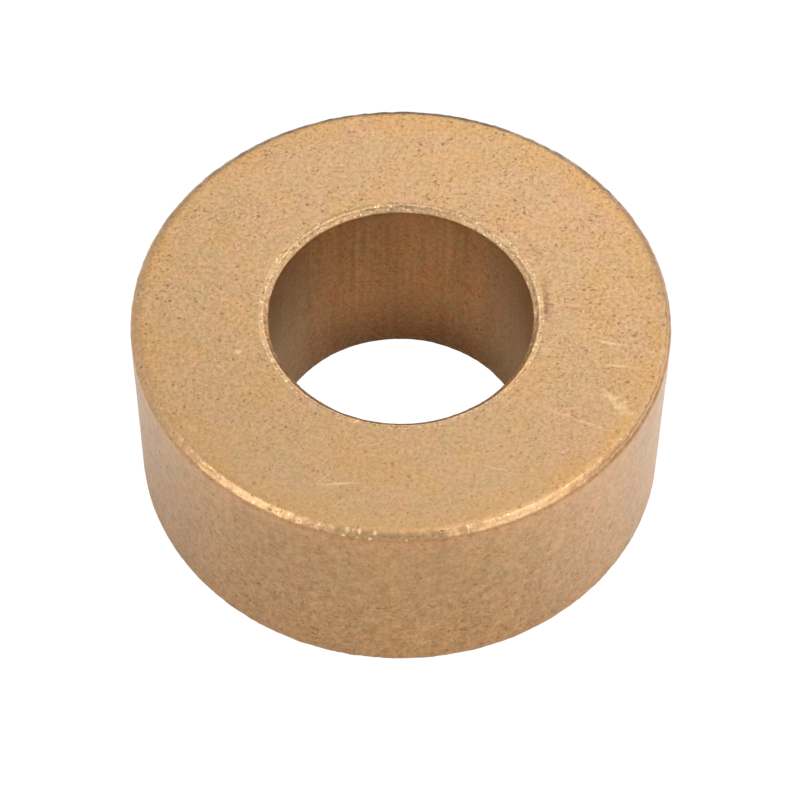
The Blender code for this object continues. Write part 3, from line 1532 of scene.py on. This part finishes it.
FACE_BRONZE = Bronze.mixed(
    base=(202, 163, 119),
    copper=(206, 161, 126),
    olive=(191, 163, 117),
    straw=(205, 160, 101),
    pore=(138, 98, 58),
    speck=(236, 202, 158),
)
OUTSIDE_BRONZE = Bronze.mixed(
    base=(191, 143, 81),
    copper=(200, 146, 90),
    olive=(179, 144, 78),
    straw=(194, 144, 72),
    pore=(130, 86, 38),
    speck=(226, 186, 134),
)
BORE_BRONZE = Bronze.mixed(
    base=(207, 155, 103),
    copper=(211, 150, 94),
    olive=(192, 162, 112),
    straw=(203, 152, 90),
    pore=(118, 82, 44),
    speck=(232, 190, 142),
)
# Its speck colour is used for real bright grains and also for the painted sparkles and glints.
OUTER_EDGE_BRONZE = Bronze.mixed(
    base=(204, 163, 118),
    copper=(210, 160, 118),
    olive=(193, 161, 110),
    straw=(208, 162, 104),
    pore=(138, 96, 52),
    speck=(255, 229, 170),
)
# Its speck colour is used for real bright grains and also for the painted sparkle highlights.
BORE_EDGE_BRONZE = Bronze.mixed(
    base=(203, 167, 124),
    copper=(210, 166, 128),
    olive=(192, 164, 116),
    straw=(205, 161, 104),
    pore=(126, 90, 52),
    speck=(252, 232, 196),
)
EDGE_DIRT = display_colour(146, 96, 54)
BORE_DIRT = display_colour(138, 98, 58)

# Where a seam's dirt begins, as X in millimetres.
RIGHT_SIDE = 8.0
ALL_ROUND = -20.0

UPPER_FACE_MARKS = (
    Mark(x=11.0, y=-1.9, turn=-10.0, length=2.1, width=0.22, strength=0.60, ragged=0.3),
    Mark(x=11.4, y=-3.4, turn=-5.0, length=2.0, width=0.20, strength=0.55, ragged=0.3),
    Mark(x=7.6, y=-2.3, turn=0.0, length=0.8, width=0.18, strength=0.40, ragged=0.4),
    Mark(x=9.0, y=-6.8, turn=-24.0, length=5.4, width=0.20, strength=0.45, ragged=0.6),
    Mark(x=11.2, y=-5.8, turn=-50.0, length=2.8, width=0.66, strength=0.55, ragged=0.6),
    Mark(x=5.0, y=-10.0, turn=-19.0, length=2.4, width=0.16, strength=0.45, ragged=0.8),
    Mark(x=-3.2, y=-11.0, turn=5.0, length=2.6, width=0.18, strength=0.55, ragged=0.2),
    Mark(x=-8.5, y=-2.7, turn=35.0, length=0.55, width=0.34, strength=0.75, ragged=0.3),
    Mark(x=7.72, y=0.7, turn=96.0, length=4.6, width=0.55, strength=0.50, ragged=0.5, dark=True),
    Mark(x=7.2, y=4.4, turn=125.0, length=2.2, width=0.45, strength=0.35, ragged=0.6, dark=True),
)


def glint_at(bearing: float, radius: float, width: float, length: float, strength: float) -> Mark:
    """Describe one painted glint: a bright highlight spot on the upper outer edge.

    Args:
        bearing: Its bearing from +X, in degrees.
        radius: Its distance from the axis, in millimetres.
        width: Its size along the edge, in millimetres.
        length: Its size across the edge, in millimetres.
        strength: How bright it is, from 0 to 1.

    Returns:
        The mark.
    """
    turn = math.radians(bearing)
    x, y = radius * math.cos(turn), radius * math.sin(turn)
    return Mark(x, y, bearing, length, width, strength, ragged=0.0)


# Painted highlights: bright glints and one bright tick on the front of the upper outer edge.
EDGE_GLINTS = (
    glint_at(-100.8, 13.93, width=0.32, length=0.42, strength=0.70),
    glint_at(-98.2, 13.95, width=0.22, length=0.36, strength=1.0),
    glint_at(-95.0, 13.96, width=0.28, length=0.32, strength=0.9),
    glint_at(-101.4, 14.22, width=0.26, length=0.20, strength=1.0),
    glint_at(-98.6, 14.24, width=0.20, length=0.16, strength=0.55),
    glint_at(-95.9, 14.24, width=0.26, length=0.22, strength=1.0),
    glint_at(-88.5, 14.24, width=0.24, length=0.20, strength=0.8),
    glint_at(-75.6, 13.95, width=0.18, length=0.70, strength=0.6),
)

DENTS = (
    Dent(bearing=2.0, radius=7.40, reach=0.45, depth=0.10),
    Dent(bearing=4.5, radius=7.60, reach=0.25, depth=0.08),
)


def make_finishes(sleeve: SinteredSleeve) -> dict[Surface, bpy.types.Material]:
    """Build the material of each surface of the ring.

    Args:
        sleeve: The ring's sizes.

    Returns:
        The material of each surface.
    """
    length = sleeve.length / MM
    chamfer_depth = sleeve.outer_chamfer_depth / MM
    bore_radius = sleeve.bore_radius / MM
    bore_chamfer = sleeve.bore_chamfer_width / MM
    finishes = {
        Surface.END_FACE: EndFaceFinish(
            bronze=FACE_BRONZE,
            rim_radius=sleeve.outer_radius / MM,
            lip_radius=bore_radius + bore_chamfer,
            marks=UPPER_FACE_MARKS,
        ),
        Surface.OUTSIDE: OutsideFinish(
            bronze=OUTSIDE_BRONZE, length=length, chamfer_depth=chamfer_depth, dirty_from=RIGHT_SIDE
        ),
        Surface.BORE: BoreFinish(bronze=BORE_BRONZE, radius=bore_radius, length=length),
        Surface.OUTER_EDGE: EdgeFinish(
            bronze=OUTER_EDGE_BRONZE,
            name="outer_edge_bronze",
            sparkles=0.015,
            facet_light_and_shade=0.07,
            relief=0.012,
            dirt=EDGE_DIRT,
            dirty_from=RIGHT_SIDE,
            measure=Measure.HEIGHT,
            seams=(
                Seam(length - chamfer_depth, width=0.14, strength=1.0),
                Seam(length - 0.18, width=0.05, strength=0.7),
            ),
            glints=EDGE_GLINTS,
        ),
        Surface.BORE_EDGE: EdgeFinish(
            bronze=BORE_EDGE_BRONZE,
            name="bore_edge_bronze",
            roughness=0.40,
            sparkles=0.24,
            facet_light_and_shade=0.27,
            relief=0.024,
            dirt=BORE_DIRT,
            dirty_from=ALL_ROUND,
            flank_painted_light=1.2,
            measure=Measure.RADIUS,
            seams=(
                Seam(bore_radius + bore_chamfer + 0.15, width=0.12, strength=0.45),
                Seam(bore_radius + bore_chamfer * 0.8, width=0.09, strength=0.5),
            ),
        ),
    }
    return {surface: finish.build() for surface, finish in finishes.items()}


def main() -> None:
    """Build the bushing and the studio around the frame."""
    logging.basicConfig(level=logging.INFO, format="%(name)s: %(message)s")
    sleeve = SinteredSleeve.from_frame()
    piece = sleeve.build(make_finishes(sleeve), DENTS)
    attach(piece, BODY)
    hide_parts(CAD_NODE)
    log.info("%s: %d faces, %d finishes", piece.name, len(piece.data.polygons), len(piece.data.materials))
    Table(outer_radius=sleeve.outer_radius, bore_radius=sleeve.bore_radius).build()
    studio = Studio(target=UP * (sleeve.length / 2), outer_radius=sleeve.outer_radius)
    studio.build()
    log.info("studio: camera %.0f mm from the ring", studio.radii_away * studio.outer_radius / MM)


if __name__ == "__main__":
    main()
